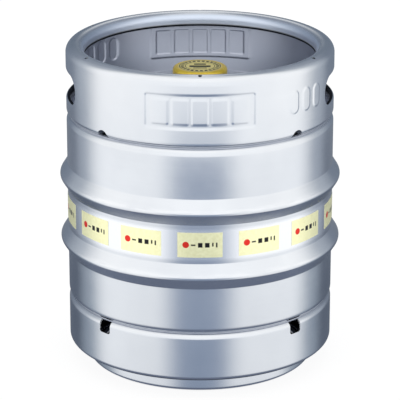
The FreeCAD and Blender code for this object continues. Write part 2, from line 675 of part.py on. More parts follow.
def build():
    """Every sub-part by the name of its node."""
    parts = {
        "upper_shell": upper_shell(),
        "lower_shell": lower_shell(),
        "girth_weld": girth_weld(),
        "upper_chime": upper_chime(),
        "lower_chime": lower_chime(),
        "barrel_labels": barrel_labels(),
        "valve_neck": valve_neck(),
        "valve_body": valve_body(),
        "body_o_ring": body_o_ring(),
        "retaining_ring": retaining_ring(),
        "valve_cage": valve_cage(),
        "gas_seal": gas_seal(),
        "seal_core": seal_core(),
        "spear_cup": spear_cup(),
        "spear_tube": spear_tube(),
        "main_spring": main_spring(),
        "beer_spring": beer_spring(),
        "beer_ball": beer_ball(),
        "cap_shell": cap_shell(),
        "cap_disc": cap_disc(),
        "cap_liner": cap_liner(),
    }
    parts["upper_chime_weld"] = chime_weld(UPPER_EDGE_Z, 1, parts["upper_chime"], parts["upper_shell"])
    parts["lower_chime_weld"] = chime_weld(LOWER_EDGE_Z, -1, parts["lower_chime"], parts["lower_shell"])
    parts["neck_weld"] = neck_weld(parts["valve_neck"], parts["upper_shell"])
    return parts


def main():
    os.makedirs("parts", exist_ok=True)
    for name, shape in build().items():
        shape.exportStep(f"parts/{name}.step")
        box = shape.BoundBox
        print(f"{name:18} solids {len(shape.Solids):2} valid {shape.isValid()} volume {shape.Volume / 1000:9.2f} cm3"
              f"  z {box.ZMin:7.2f} to {box.ZMax:7.2f}  x {box.XMin:8.2f} to {box.XMax:8.2f}")


main()
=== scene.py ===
"""Looks of a twenty-litre stainless steel beer keg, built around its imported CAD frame.

+Z is up, the front faces -Y and the hand holes face +X and -X. An azimuth is measured about +Z
from the front, towards +X. Lengths of the keg are in millimetres, and MM turns them into metres.
The floor, the reflector and the camera are set in metres.
"""
import math

import bpy
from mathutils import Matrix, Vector


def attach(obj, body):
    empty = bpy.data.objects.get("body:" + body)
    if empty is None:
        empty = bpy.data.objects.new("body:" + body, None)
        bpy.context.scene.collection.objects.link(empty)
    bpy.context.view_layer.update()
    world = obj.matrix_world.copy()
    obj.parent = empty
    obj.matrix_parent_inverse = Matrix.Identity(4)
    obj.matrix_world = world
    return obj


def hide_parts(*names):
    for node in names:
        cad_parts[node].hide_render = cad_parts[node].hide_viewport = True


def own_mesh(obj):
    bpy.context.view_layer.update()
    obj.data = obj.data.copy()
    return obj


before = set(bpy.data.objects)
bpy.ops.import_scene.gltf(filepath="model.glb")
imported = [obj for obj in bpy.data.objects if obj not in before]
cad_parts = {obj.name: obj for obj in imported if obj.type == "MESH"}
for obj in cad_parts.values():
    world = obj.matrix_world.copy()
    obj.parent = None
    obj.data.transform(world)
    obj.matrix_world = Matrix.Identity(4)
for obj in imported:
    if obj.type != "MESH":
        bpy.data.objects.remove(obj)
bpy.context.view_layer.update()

MM = 0.001


# ---- dimensions, mm
BODY_R = 159.0
SHELL_T = 1.5
GIRTH_LOW_Z = 188.0
CROWN_TOP_Z = 344.0
CROWN_BOTTOM_Z = 40.6
CROWN_R = 318.0
CROWN_SLOPE = 25.0
KNUCKLE_R = 10.0
NECK_R = 31.0
SUMP_R = 24.0
SUMP_DEPTH = 4.0
SUMP_SLOPE_W = 9.0  # width of the slope down into the sump
SUMP_SLOPE_OUT = 1.0  # how far outside the sump's radius it starts
SUMP_LEAD_R = 4.0  # the head's own samples stop this far outside the sump
SUMP_LEAD_H = 0.9  # rise of the crown from its middle to the slope
SUMP_STEPS = 8
HOOP_UPPER_Z = 229.8
HOOP_LOWER_Z = 151.9
HOOP_HALF = 15.1
HOOP_SLOPE = 32.5
HOOP_BEND = 4.7
HOOP_FOOT_BEND = 2.5

CHIME_T = 2.0
CHIME_BEND = 5.0
CHIME_EDGE_R = 153.9
CHIME_EDGE_RISE = 4.1
UPPER_EDGE_Z = 305.6
LOWER_EDGE_Z = 79.0
RIM_TOP_Z = 390.0
RIM_R = 10.8
RIM_LIP_Z = 372.6
SHELF_Z = 20.9
SHELF_BEND = 5.5
FOOT_R = 136.2
FOOT_BEND = 3.5
FOOT_FLAT = 11.0
FOOT_HEM_Z = 9.0

HANDLE_AZIMUTHS = (90.0, -90.0)
HANDLE_Z = 343.0
HANDLE_HALF_W = 62.8
HANDLE_HALF_H = 16.9
LIP_BEND = 1.6  # bend radius of the rolled lip round a hand hole
LIP_MARGIN = 1.0  # flat wall carried by the lip's own mesh
LIP_STRAIGHT = 2.2
LIP_EDGE_EASE = 0.5
LIP_ARC_STEPS = 12
DRAIN_AZIMUTHS = (45.0, 135.0, 225.0, 315.0)
DRAIN_R = 8.6
DRAIN_RISE = 8.6  # top of a drain arch above the chime's welded edge
DRAIN_CUT_BELOW = 12.0  # reach of its cutter below that edge
SLOT_HALF_W = 8.6
SLOT_LOW_Z = 64.1
SLOT_CORNER_R = 3.0
SLOT_CUT_ABOVE = 10.0  # reach of its cutter above the lower chime's edge
CUT_INSIDE = 20.0  # reach of cutters inside and outside the wall
CUT_OUTSIDE = 10.0
HANDLE_CUT_INSIDE = 30.0  # the same for a hand hole
VENT_COUNT = 6
VENT_R = 2.25
VENT_TILT = 15.0
VENT_CUT_ABOVE = 5.0
PRESS_DEPTH = 0.8
PRESS_SOFT = 2.2  # width over which a pressed edge slopes
PRESS_MARGIN = 3.0  # no pressing reaches further than this above or below a panel
PANEL_AZIMUTHS = (0.0, 180.0)
PANEL_REACH = 25.0  # degrees either side of its middle that a panel may take up
PANEL_HALF_W = 62.2
PANEL_LOW_Z = 328.6
PANEL_HIGH_Z = 368.6
PANEL_CORNER_R = 2.5
PATTERN_HALF_H = 14.8
BLOCK_W = 18.4
BLOCK_PITCH = 23.0
BLOCK_CORNER_R = 1.6
BLOCKS_EACH_SIDE = 2
MARK_AZIMUTHS = (50.0, 230.0)
MARK_REACH = 12.0
MARK_Z = 348.9
MARK_HALF_H = 13.5
MARK_BAR_HALF_W = 6.5
MARK_PITCH = 20.4

LABEL_COUNT = 14
LABEL_ANGLE = 18.8
LABEL_T = 0.25
LABEL_LOW_Z = 175.5
LABEL_HIGH_Z = 205.5
LABEL_COLUMNS = 20

CAP_R = 33.0
CAP_BORE_R = 31.3
CAP_TOP_Z = 359.4
CAP_LOW_Z = 346.9
CAP_TOP_T = 1.6
CAP_SHOULDER_R = 4.6
CAP_BEAD_OUT = 0.5  # how far the bead at the skirt's foot stands out
DISC_R = 26.0
DISC_T = 0.4

MAIN_SPRING = dict(mid_r=14.0, wire_r=1.1, low=285.4, high=322.4, turns=6)
BEER_SPRING = dict(mid_r=5.4, wire_r=0.5, low=300.4, high=312.6, turns=5)
MAIN_TRAVEL = 8.0
BEER_TRAVEL = 4.0

# ---- mesh fineness
ROUND_COLUMNS = 288  # columns round the barrel and the lower chime
FINE_STEP = 0.3  # degrees between columns of the upper chime, at its pressings
COARSE_STEP = 1.0  # and elsewhere
PANEL_FINE = 24.0  # degrees either side of a panel's middle that are fine
MARK_FINE = 10.5
BARREL_SPACING = 6.0
BARREL_ARC_STEP = 2.5
UPPER_CHIME_SPACING = 0.9
LOWER_CHIME_SPACING = 5.0
CHIME_ARC_STEP = 5.0
CAP_COLUMNS = 128
CAP_SHOULDER_STEPS = 10
SHARP_ANGLE = 32.0
SAME_POINT = 1e-6
SAME_SAMPLE = 1e-4


# ---- mesh helpers
def place(r, azimuth, z):
    """A point in metres from a radius, an azimuth in degrees and a height, both in mm."""
    a = math.radians(azimuth)
    return (r * math.sin(a) * MM, -r * math.cos(a) * MM, z * MM)


def side_point(u, z, out, azimuth):
    """A point in metres, out along a radial direction and at sideways distance u from it."""
    a = math.radians(azimuth)
    x = out * math.sin(a) + u * math.cos(a)
    y = -out * math.cos(a) + u * math.sin(a)
    return (x * MM, y * MM, z * MM)


def face_point(u, z, r, azimuth):
    """A point at sideways distance u from a radial direction, on the cylinder of radius r."""
    return side_point(u, z, math.sqrt(r * r - u * u), azimuth)


def smooth(f):
    """A share from 0 to 1, eased at both ends."""
    return f * f * (3 - 2 * f)


def signed_volume(verts, faces):
    """Six times the volume that the faces close, positive when they face outwards."""
    total = 0.0
    for face in faces:
        a = Vector(verts[face[0]])
        for k in range(1, len(face) - 1):
            total += a.dot(Vector(verts[face[k]]).cross(Vector(verts[face[k + 1]])))
    return total


def link_mesh(name, verts, faces):
    """A new object in the scene, from vertices in metres."""
    mesh = bpy.data.meshes.new(name)
    mesh.from_pydata(verts, [], faces)
    obj = bpy.data.objects.new(name, mesh)
    bpy.context.scene.collection.objects.link(obj)
    return obj


def make_object(name, verts, faces, sharp=SHARP_ANGLE):
    """A mesh object with outward faces, smooth but for its sharp edges."""
    if signed_volume(verts, faces) < 0:
        faces = [tuple(reversed(f)) for f in faces]
    obj = link_mesh(name, verts, faces)
    obj.data.validate()
    shade(obj, sharp)
    return obj


def shade(obj, sharp=SHARP_ANGLE):
    """Smooth shading, with edges sharper than an angle in degrees kept crisp."""
    obj.data.polygons.foreach_set("use_smooth", [True] * len(obj.data.polygons))
    obj.data.set_sharp_from_angle(angle=math.radians(sharp))
    obj.data.update()


def gap(a, b):
    """Distance between two points of a profile."""
    return math.hypot(b[0] - a[0], b[1] - a[1])


def bent_path(corners, spacing, arc_step):
    """Sample a path of straight runs and round bends; gives (r, z, tangent r, tangent z).

    A corner is (r, z, bend radius). The radii of the first and the last are not used.
    """
    points = [(c[0], c[1]) for c in corners]
    runs = []
    for a, b in zip(points, points[1:]):
        length = gap(a, b)
        runs.append(((b[0] - a[0]) / length, (b[1] - a[1]) / length))
    samples = []

    def add_line(a, b, t):
        length = gap(a, b)
        if length < SAME_POINT:
            return
        count = max(1, round(length / spacing))
        for k in range(count + 1):
            f = k / count
            samples.append((a[0] + (b[0] - a[0]) * f, a[1] + (b[1] - a[1]) * f, t[0], t[1]))

    start = points[0]
    for k in range(1, len(corners) - 1):
        before, after = runs[k - 1], runs[k]
        cross = before[0] * after[1] - before[1] * after[0]
        turn = math.atan2(cross, before[0] * after[0] + before[1] * after[1])
        bend = corners[k][2]
        reach = bend * math.tan(abs(turn) / 2)
        entry = (points[k][0] - before[0] * reach, points[k][1] - before[1] * reach)
        add_line(start, entry, before)
        swing = math.copysign(bend, turn)
        centre = (entry[0] - before[1] * swing, entry[1] + before[0] * swing)
        steps = max(2, round(abs(math.degrees(turn)) / arc_step))
        for s in range(1, steps):
            a = turn * s / steps
            t = (before[0] * math.cos(a) - before[1] * math.sin(a),
                 before[0] * math.sin(a) + before[1] * math.cos(a))
            samples.append((centre[0] + t[1] * swing, centre[1] - t[0] * swing, t[0], t[1]))
        start = (points[k][0] + after[0] * reach, points[k][1] + after[1] * reach)
    add_line(start, points[-1], runs[-1])
    if gap(start, points[-1]) < SAME_POINT:
        samples.append((start[0], start[1], runs[-1][0], runs[-1][1]))
    distinct = samples[:1]
    for s in samples[1:]:
        if gap(distinct[-1], s) > SAME_SAMPLE:
            distinct.append(s)
    return distinct


def sheet_loop(path, thickness, round_start, round_end, edge=0.4):
    """The closed outline of a sheet laid about a path, with eased edges at its free ends."""
    half = thickness / 2

    def row(sample, shift, back=0.0):
        r, z, tr, tz = sample
        return (max(0.0, r - tz * shift + tr * back), z + tr * shift + tz * back)

    left = [row(s, half) for s in path]
    right = [row(s, -half) for s in path]
    if round_end:
        left[-1] = row(path[-1], half, -edge)
        right[-1] = row(path[-1], -half, -edge)
        left.append(row(path[-1], half - edge))
        right.append(row(path[-1], edge - half))
    if round_start:
        left[0] = row(path[0], half, edge)
        right[0] = row(path[0], -half, edge)
        left.insert(0, row(path[0], half - edge))
        right.insert(0, row(path[0], edge - half))
    return left + right[::-1]


def lathe(name, loop, azimuths, press=None, sharp=SHARP_ANGLE):
    """Turn a closed outline of (radius, height) about the axis; press moves wall points outwards."""
    verts = []
    index = []
    pole = {}
    wall_from = BODY_R - CHIME_T - 0.5  # just inside the chime's wall
    for a in azimuths:
        column = []
        for r, z in loop:
            if r < SAME_POINT:
                key = round(z, 4)
                if key not in pole:
                    pole[key] = len(verts)
                    verts.append(place(0.0, 0.0, z))
                column.append(pole[key])
                continue
            out = press(a, z) if press and r > wall_from else 0.0
            column.append(len(verts))
            verts.append(place(r + out, a, z))
        index.append(column)
    faces = []
    rows = len(loop)
    for i in range(len(azimuths)):
        this, other = index[i], index[(i + 1) % len(azimuths)]
        for j in range(rows):
            k = (j + 1) % rows
            face = []
            for v in (this[j], other[j], other[k], this[k]):
                if v not in face:
                    face.append(v)
            if len(face) > 2:
                faces.append(tuple(face))
    return make_object(name, verts, faces, sharp)


def even_azimuths(count):
    return [360.0 * k / count for k in range(count)]


def loft(name, rings):
    """Skin rings of the same number of points, the last joined to the first."""
    verts = [p for ring in rings for p in ring]
    n = len(rings[0])
    faces = []
    for j in range(len(rings)):
        k = (j + 1) % len(rings)
        for i in range(n):
            m = (i + 1) % n
            faces.append((j * n + i, j * n + m, k * n + m, k * n + i))
    return make_object(name, verts, faces)


def stadium_outline(half_w, half_h, z, grow=0.0, per_end=40, per_side=24):
    """Points (u, z) round a slot with round ends, grown outwards by a distance."""
    r = half_h + grow
    straight = half_w - half_h
    points = []
    for k in range(per_end):
        a = -math.pi / 2 + math.pi * k / per_end
        points.append((straight + r * math.cos(a), z + r * math.sin(a)))
    for k in range(per_side):
        points.append((straight - 2 * straight * k / per_side, z + r))
    for k in range(per_end):
        a = math.pi / 2 + math.pi * k / per_end
        points.append((-straight + r * math.cos(a), z + r * math.sin(a)))
    for k in range(per_side):
        points.append((-straight + 2 * straight * k / per_side, z - r))
    return points


def round_rectangle_outline(half_w, low, high, corner, per_corner=6):
    """Points (u, z) round an upright rectangle with round corners."""
    points = []
    for u, z, a in ((half_w, low, -90), (half_w, high, 0), (-half_w, high, 90), (-half_w, low, 180)):
        cu = u - math.copysign(corner, u)
        cz = z + corner if z == low else z - corner
        for k in range(per_corner + 1):
            b = math.radians(a + 90.0 * k / per_corner)
            points.append((cu + corner * math.cos(b), cz + corner * math.sin(b)))
    return points


def arch_outline(half_w, low, high, steps=24):
    """Points (u, z) round an opening with a half-round top."""
    points = [(half_w, low)]
    for k in range(steps + 1):
        a = math.pi * k / steps
        points.append((half_w * math.cos(a), high - half_w + half_w * math.sin(a)))
    points.append((-half_w, low))
    return points


def lump_faces(n):
    """Faces of a closed lump with n points round its first end, then n round its second."""
    faces = [tuple(range(n - 1, -1, -1)), tuple(range(n, 2 * n))]
    faces += [(i, (i + 1) % n, n + (i + 1) % n, n + i) for i in range(n)]
    return faces


def prism(outline, r_in, r_out, azimuth):
    """Vertices and faces of an outline pushed through a wall along one radial direction."""
    verts = [side_point(u, z, out, azimuth) for out in (r_in, r_out) for u, z in outline]
    return verts, lump_faces(len(outline))


def upright_cylinder(x, y, r, low, high, sides=24):
    """Vertices and faces of an upright cylinder over the point (x, y)."""
    verts = []
    for z in (low, high):
        for k in range(sides):
            a = 2 * math.pi * k / sides
            verts.append(((x + r * math.cos(a)) * MM, (y + r * math.sin(a)) * MM, z * MM))
    return verts, lump_faces(sides)


def cut(obj, cutters):
    """Cut a list of closed vertex-and-face lumps out of an object."""
    verts, faces = [], []
    for v, f in cutters:
        lift = len(verts)
        if signed_volume(v, f) < 0:
            f = [tuple(reversed(face)) for face in f]
        verts += v
        faces += [tuple(i + lift for i in face) for face in f]
    tool = link_mesh(obj.name + "_cutter", verts, faces)
    modifier = obj.modifiers.new("cut", "BOOLEAN")
    modifier.operation = "DIFFERENCE"
    modifier.solver = "EXACT"
    modifier.object = tool
    depsgraph = bpy.context.evaluated_depsgraph_get()
    result = bpy.data.meshes.new_from_object(obj.evaluated_get(depsgraph))
    obj.modifiers.clear()
    spent = [obj.data, tool.data]
    obj.data = result
    bpy.data.objects.remove(tool)
    for mesh in spent:
        bpy.data.meshes.remove(mesh)
    shade(obj)


def join(name, parts):
    """One object from several meshes."""
    verts, faces = [], []
    for part in parts:
        lift = len(verts)
        verts += [tuple(v.co) for v in part.data.vertices]
        faces += [tuple(i + lift for i in p.vertices) for p in part.data.polygons]
        mesh = part.data
        bpy.data.objects.remove(part)
        bpy.data.meshes.remove(mesh)
    obj = link_mesh(name, verts, faces)
    shade(obj)
    return obj


# ---- shapes
def head_corners(apex_z, up):
    """Middle line of a domed head, from the wall to the axis; up is 1 for the top, -1 for the bottom."""
    wall_r = BODY_R - SHELL_T / 2
    crown = CROWN_R - SHELL_T / 2
    corner_r = crown * math.tan(math.radians(CROWN_SLOPE) / 2)
    middle_z = apex_z - up * SHELL_T / 2
    wall_z = middle_z - up * (wall_r - corner_r) * math.tan(math.radians(CROWN_SLOPE))
    return [(wall_r, wall_z, KNUCKLE_R), (corner_r, middle_z, crown), (0.0, middle_z, 0.0)]


def hoop_corners(z, up):
    """Middle line of a rolling hoop, from its foot nearer the girth weld to the other one."""
    wall_r = BODY_R - SHELL_T / 2
    crest_r = wall_r + HOOP_HALF * math.tan(math.radians(HOOP_SLOPE))
    return [
        (wall_r, z - up * HOOP_HALF, HOOP_FOOT_BEND),
        (crest_r, z, HOOP_BEND),
        (wall_r, z + up * HOOP_HALF, HOOP_FOOT_BEND),
    ]


def barrel_path(hoop_z, apex_z, up, open_r):
    """Middle line of half the vessel, from the girth weld inwards to a radius."""
    corners = [(BODY_R - SHELL_T / 2, GIRTH_LOW_Z, 0.0)]
    corners += hoop_corners(hoop_z, up) + head_corners(apex_z, up)
    return [s for s in bent_path(corners, BARREL_SPACING, BARREL_ARC_STEP) if s[0] >= open_r]


def turned_barrel(name, path):
    return lathe(name, sheet_loop(path, SHELL_T, False, False), even_azimuths(ROUND_COLUMNS))


def upper_barrel():
    """The upper half: wall, hoop and head, open at the neck."""
    path = barrel_path(HOOP_UPPER_Z, CROWN_TOP_Z, 1, NECK_R)
    last = path[-1]
    drop = math.sqrt((CROWN_R - SHELL_T / 2) ** 2 - NECK_R ** 2)
    path.append((NECK_R, CROWN_TOP_Z - CROWN_R + drop, last[2], last[3]))
    return turned_barrel("barrel_upper", path)


def lower_barrel():
    """The lower half: wall, hoop and head, with a shallow sump pressed in its middle."""
    path = barrel_path(HOOP_LOWER_Z, CROWN_BOTTOM_Z, -1, SUMP_R + SUMP_LEAD_R)
    middle_z = CROWN_BOTTOM_Z + SHELL_T / 2
    for k in range(SUMP_STEPS + 1):
        f = k / SUMP_STEPS
        r = SUMP_R + SUMP_SLOPE_OUT - f * SUMP_SLOPE_W
        z = middle_z + SUMP_LEAD_H * (1 - f) - SUMP_DEPTH * smooth(f)
        slope = SUMP_DEPTH * 6 * f * (1 - f) / SUMP_SLOPE_W
        length = math.hypot(1.0, slope)
        path.append((r, z, -1.0 / length, -slope / length))
    path.append((0.0, middle_z - SUMP_DEPTH, -1.0, 0.0))
    return turned_barrel("barrel_lower", path)


def soft_step(distance):
    """1 inside an outline, 0 outside it, with a smooth slope across its edge."""
    return smooth(min(1.0, max(0.0, 0.5 - distance / PRESS_SOFT)))


def box_distance(u, z, half_w, half_h, corner):
    """Distance of a point from a rectangle with round corners, negative inside it."""
    du = abs(u) - half_w + corner
    dz = abs(z) - half_h + corner
    outside = math.hypot(max(du, 0.0), max(dz, 0.0))
    return outside + min(max(du, dz), 0.0) - corner


def turn_from(azimuth, centre):
    """Degrees from one azimuth to another, between -180 and 180."""
    return (azimuth - centre + 180.0) % 360.0 - 180.0


def block_share(u, z):
    """How far a point of a panel lies in its row of five raised blocks."""
    k = max(-BLOCKS_EACH_SIDE, min(BLOCKS_EACH_SIDE, round(u / BLOCK_PITCH)))
    return soft_step(box_distance(u - k * BLOCK_PITCH, z, BLOCK_W / 2, PATTERN_HALF_H, BLOCK_CORNER_R))


def chime_press(azimuth, z):
    """Radial shift of the upper chime's wall at a point: pressed panels in, marks out."""
    if z < PANEL_LOW_Z - PRESS_MARGIN or z > PANEL_HIGH_Z + PRESS_MARGIN:
        return 0.0
    for centre in PANEL_AZIMUTHS:
        turn = turn_from(azimuth, centre)
        if abs(turn) < PANEL_REACH:
            u = BODY_R * math.sin(math.radians(turn))
            v = z - (PANEL_LOW_Z + PANEL_HIGH_Z) / 2
            half_h = (PANEL_HIGH_Z - PANEL_LOW_Z) / 2
            inside = soft_step(box_distance(u, v, PANEL_HALF_W, half_h, PANEL_CORNER_R))
            return -PRESS_DEPTH * inside * (1 - block_share(u, v)) if inside else 0.0
    for centre in MARK_AZIMUTHS:
        turn = turn_from(azimuth, centre)
        if abs(turn) < MARK_REACH:
            rise = 0.0
            for k in (-1, 0, 1):
                u = BODY_R * math.sin(math.radians(turn - math.degrees(k * MARK_PITCH / BODY_R)))
                distance = box_distance(u, z - MARK_Z, MARK_BAR_HALF_W, MARK_HALF_H, MARK_BAR_HALF_W)
                rise = max(rise, soft_step(distance))
            return PRESS_DEPTH * rise
    return 0.0


def chime_azimuths():
    """Columns of the upper chime: fine where it is pressed, coarse elsewhere."""
    columns = []
    a = 0.0
    while a < 360.0 - 1e-6:
        columns.append(a)
        near_panel = min(abs(turn_from(a, c)) for c in PANEL_AZIMUTHS) < PANEL_FINE
        near_mark = min(abs(turn_from(a, c)) for c in MARK_AZIMUTHS) < MARK_FINE
        a = round(a + (FINE_STEP if near_panel or near_mark else COARSE_STEP), 6)
    return columns


def handle_outline(grow):
    return stadium_outline(HANDLE_HALF_W, HANDLE_HALF_H, HANDLE_Z, grow)


def handle_lip(azimuth):
    """The rolled edge of a hand hole, from the wall round to its free end inside."""
    half = CHIME_T / 2
    ease = LIP_EDGE_EASE
    centre_r = BODY_R - half - LIP_BEND
    end_r = centre_r - LIP_STRAIGHT
    outer, inner = LIP_BEND + half, LIP_BEND - half
    section = [(outer + LIP_MARGIN, BODY_R)]
    for k in range(LIP_ARC_STEPS + 1):
        a = math.radians(90.0 * k / LIP_ARC_STEPS)
        section.append((outer - outer * math.sin(a), centre_r + outer * math.cos(a)))
    section += [(0.0, end_r + ease), (ease, end_r), (CHIME_T - ease, end_r), (CHIME_T, end_r + ease)]
    for k in range(LIP_ARC_STEPS, -1, -1):
        a = math.radians(90.0 * k / LIP_ARC_STEPS)
        section.append((outer - inner * math.sin(a), centre_r + inner * math.cos(a)))
    section.append((outer + LIP_MARGIN, BODY_R - CHIME_T))
    rings = [[face_point(u, z, r, azimuth) for u, z in handle_outline(grow)] for grow, r in section]
    return loft("lip", rings)


def upper_chime():
    """The upper chime: wall, curled rim, pressings, hand holes, drains and vents."""
    wall_r = BODY_R - CHIME_T / 2
    rim_bend = RIM_R - CHIME_T / 2
    top = RIM_TOP_Z - CHIME_T / 2
    path = bent_path([
        (CHIME_EDGE_R, UPPER_EDGE_Z, 0.0),
        (wall_r, UPPER_EDGE_Z + CHIME_EDGE_RISE, CHIME_BEND),
        (wall_r, top, rim_bend),
        (wall_r - 2 * rim_bend, top, rim_bend),
        (wall_r - 2 * rim_bend, RIM_LIP_Z, 0.0),
    ], UPPER_CHIME_SPACING, CHIME_ARC_STEP)
    wall = lathe("wall", sheet_loop(path, CHIME_T, True, True), chime_azimuths(), chime_press)
    cutters = []
    for azimuth in HANDLE_AZIMUTHS:
        outline = handle_outline(LIP_BEND + CHIME_T / 2 + LIP_MARGIN)
        cutters.append(prism(outline, BODY_R - HANDLE_CUT_INSIDE, BODY_R + CUT_OUTSIDE, azimuth))
    for azimuth in DRAIN_AZIMUTHS:
        outline = arch_outline(DRAIN_R, UPPER_EDGE_Z - DRAIN_CUT_BELOW, UPPER_EDGE_Z + DRAIN_RISE)
        cutters.append(prism(outline, BODY_R - CUT_INSIDE, BODY_R + CUT_OUTSIDE, azimuth))
    vent_r = BODY_R - RIM_R + RIM_R * math.sin(math.radians(VENT_TILT))
    for k in range(VENT_COUNT):
        a = 2 * math.pi * k / VENT_COUNT
        x, y = vent_r * math.sin(a), -vent_r * math.cos(a)
        cutters.append(upright_cylinder(x, y, VENT_R, RIM_TOP_Z - RIM_R / 2, RIM_TOP_Z + VENT_CUT_ABOVE))
    cut(wall, cutters)
    return join("chime_upper", [wall] + [handle_lip(azimuth) for azimuth in HANDLE_AZIMUTHS])


def lower_chime():
    """The lower chime: wall with drain slots, stacking shelf and hemmed foot ring."""
    wall_r = BODY_R - CHIME_T / 2
    foot_r = FOOT_R - CHIME_T / 2
    shelf_z = SHELF_Z + CHIME_T / 2
    floor_z = CHIME_T / 2
    path = bent_path([
        (CHIME_EDGE_R, LOWER_EDGE_Z, 0.0),
        (wall_r, LOWER_EDGE_Z - CHIME_EDGE_RISE, CHIME_BEND),
        (wall_r, shelf_z, SHELF_BEND),
        (foot_r, shelf_z, SHELF_BEND),
        (foot_r, floor_z, FOOT_BEND),
        (foot_r - FOOT_FLAT, floor_z, FOOT_BEND - 0.5),
        (foot_r - FOOT_FLAT, FOOT_HEM_Z, 0.0),
    ], LOWER_CHIME_SPACING, CHIME_ARC_STEP)
    wall = lathe("chime_lower", sheet_loop(path, CHIME_T, True, True), even_azimuths(ROUND_COLUMNS))
    outline = round_rectangle_outline(SLOT_HALF_W, SLOT_LOW_Z, LOWER_EDGE_Z + SLOT_CUT_ABOVE, SLOT_CORNER_R)
    cut(wall, [prism(outline, BODY_R - CUT_INSIDE, BODY_R + CUT_OUTSIDE, a) for a in DRAIN_AZIMUTHS])
    return wall


def labels():
    """Thin labels on the barrel, with their own coordinates for the print."""
    outer_r = BODY_R + LABEL_T
    section = ((BODY_R, LABEL_LOW_Z), (outer_r, LABEL_LOW_Z), (outer_r, LABEL_HIGH_Z), (BODY_R, LABEL_HIGH_Z))
    verts, faces, uvs = [], [], []
    for n in range(LABEL_COUNT):
        first = 360.0 * n / LABEL_COUNT - LABEL_ANGLE / 2
        base = len(verts)
        for k in range(LABEL_COLUMNS + 1):
            a = first + LABEL_ANGLE * k / LABEL_COLUMNS
            for r, z in section:
                verts.append(place(r, a, z))
                uvs.append((k / LABEL_COLUMNS, (z - LABEL_LOW_Z) / (LABEL_HIGH_Z - LABEL_LOW_Z)))
        for k in range(LABEL_COLUMNS):
            this = base + 4 * k
            for j in range(4):
                m = (j + 1) % 4
                faces.append((this + j, this + 4 + j, this + 4 + m, this + m))
        end = base + 4 * LABEL_COLUMNS
        faces.append((base, base + 1, base + 2, base + 3))
        faces.append((end + 3, end + 2, end + 1, end))
    obj = make_object("label_band", verts, faces)
    layer = obj.data.uv_layers.new(name="print")
    for loop in obj.data.loops:
        layer.data[loop.index].uv = uvs[loop.vertex_index]
    return obj


def dust_cap():
    """The push-on cap, with an eased shoulder, a seat for its disc and a bead round the skirt's foot."""
    seat_z = CAP_TOP_Z - DISC_T
    loop = [(0.0, seat_z), (DISC_R - 0.3, seat_z), (DISC_R, CAP_TOP_Z - 0.1), (DISC_R + 0.4, CAP_TOP_Z)]
    skirt_r = CAP_R - CAP_BEAD_OUT
    shoulder_r, shoulder_z = skirt_r - CAP_SHOULDER_R, CAP_TOP_Z - CAP_SHOULDER_R
    for k in range(CAP_SHOULDER_STEPS + 1):
        a = math.radians(90.0 * k / CAP_SHOULDER_STEPS)
        loop.append((shoulder_r + CAP_SHOULDER_R * math.sin(a), shoulder_z + CAP_SHOULDER_R * math.cos(a)))
    loop += [  # the bead, then the skirt's foot
        (skirt_r, CAP_LOW_Z + 2.6),
        (CAP_R - 0.15, CAP_LOW_Z + 2.1),
        (CAP_R, CAP_LOW_Z + 1.5),
        (CAP_R, CAP_LOW_Z + 0.5),
        (CAP_R - 0.4, CAP_LOW_Z),
        (CAP_BORE_R + 0.4, CAP_LOW_Z),
        (CAP_BORE_R, CAP_LOW_Z + 0.6),
    ]
    under = CAP_TOP_Z - CAP_TOP_T
    loop += [(CAP_BORE_R, under - 1.6), (CAP_BORE_R - 1.5, under - 0.3), (CAP_BORE_R - 3.3, under)]
    loop.append((0.0, under))
    return lathe("dust_cap", loop, even_azimuths(CAP_COLUMNS), sharp=40.0)


def spring(name, mid_r, wire_r, low, high, turns):
    """A compression spring of even pitch, cut square at both ends."""
    per_turn, sides = 36, 12
    total = turns * per_turn
    span = high - low - 2 * wire_r
    rings = []
    for k in range(total + 1):
        f = k / total
        a = 2 * math.pi * turns * f
        z = low + wire_r + span * f
        ring = []
        for s in range(sides):
            b = 2 * math.pi * s / sides
            r = mid_r + wire_r * math.cos(b)
            ring.append((r * math.cos(a) * MM, r * math.sin(a) * MM, (z + wire_r * math.sin(b)) * MM))
        rings.append(ring)
    verts = [p for ring in rings for p in ring]
    faces = []
    for j in range(total):
        this, after = j * sides, (j + 1) * sides
        for i in range(sides):
            m = (i + 1) % sides
            faces.append((this + i, this + m, after + m, after + i))
    faces.append(tuple(range(sides)))
    faces.append(tuple(total * sides + i for i in range(sides - 1, -1, -1)))
    return make_object(name, verts, faces, sharp=60.0)


# ---- materials; noise scales are per metre
STEEL_ROUGHNESS = 0.22
STEEL_LIGHT = (0.70, 0.72, 0.745, 1.0)
STEEL_DARK = (0.63, 0.65, 0.68, 1.0)
STEEL_POLISHED = (0.78, 0.79, 0.80, 1.0)
# painted highlight: the colour of a band painted brighter round the labels
STEEL_PAINTED_HIGHLIGHT = (0.86, 0.87, 0.885, 1.0)
# painted shade: the colour painted on the chimes' inner side
STEEL_INNER_SHADE = (0.46, 0.485, 0.56, 1.0)
# painted reflection: a bluer colour painted on the curl's inner face
CURL_PAINTED_REFLECTION = (0.62, 0.68, 0.78, 1.0)
SEAM_COLOUR = (0.2, 0.23, 0.3, 1.0)
# painted shade: the near-black painted in hollows where shade falls
RECESS_PAINTED_SHADE = (0.012, 0.014, 0.02, 1.0)
BEAD_DARK = (0.30, 0.33, 0.40, 1.0)
BEAD_LIGHT = (0.48, 0.50, 0.55, 1.0)
POLISH_W = 3.5  # how far the polish reaches in from a hoop's crest
INWARD_FROM = 150.0  # radius where the painted shade on the chimes' inner side starts, and where it is complete
INWARD_FULL = 153.0
CURL_R = (136.5, 142.5)  # the inner face of the rim's curl
CURL_Z = (375.8, 387.0)
ASIDE_SOFT = 4.0
# AT_DIAGONAL keeps painted shade to the drains' azimuths
AT_DIAGONAL = 0.4967  # least |x y| / r^2 of a recess at the drains; it is 0.5 on the diagonals

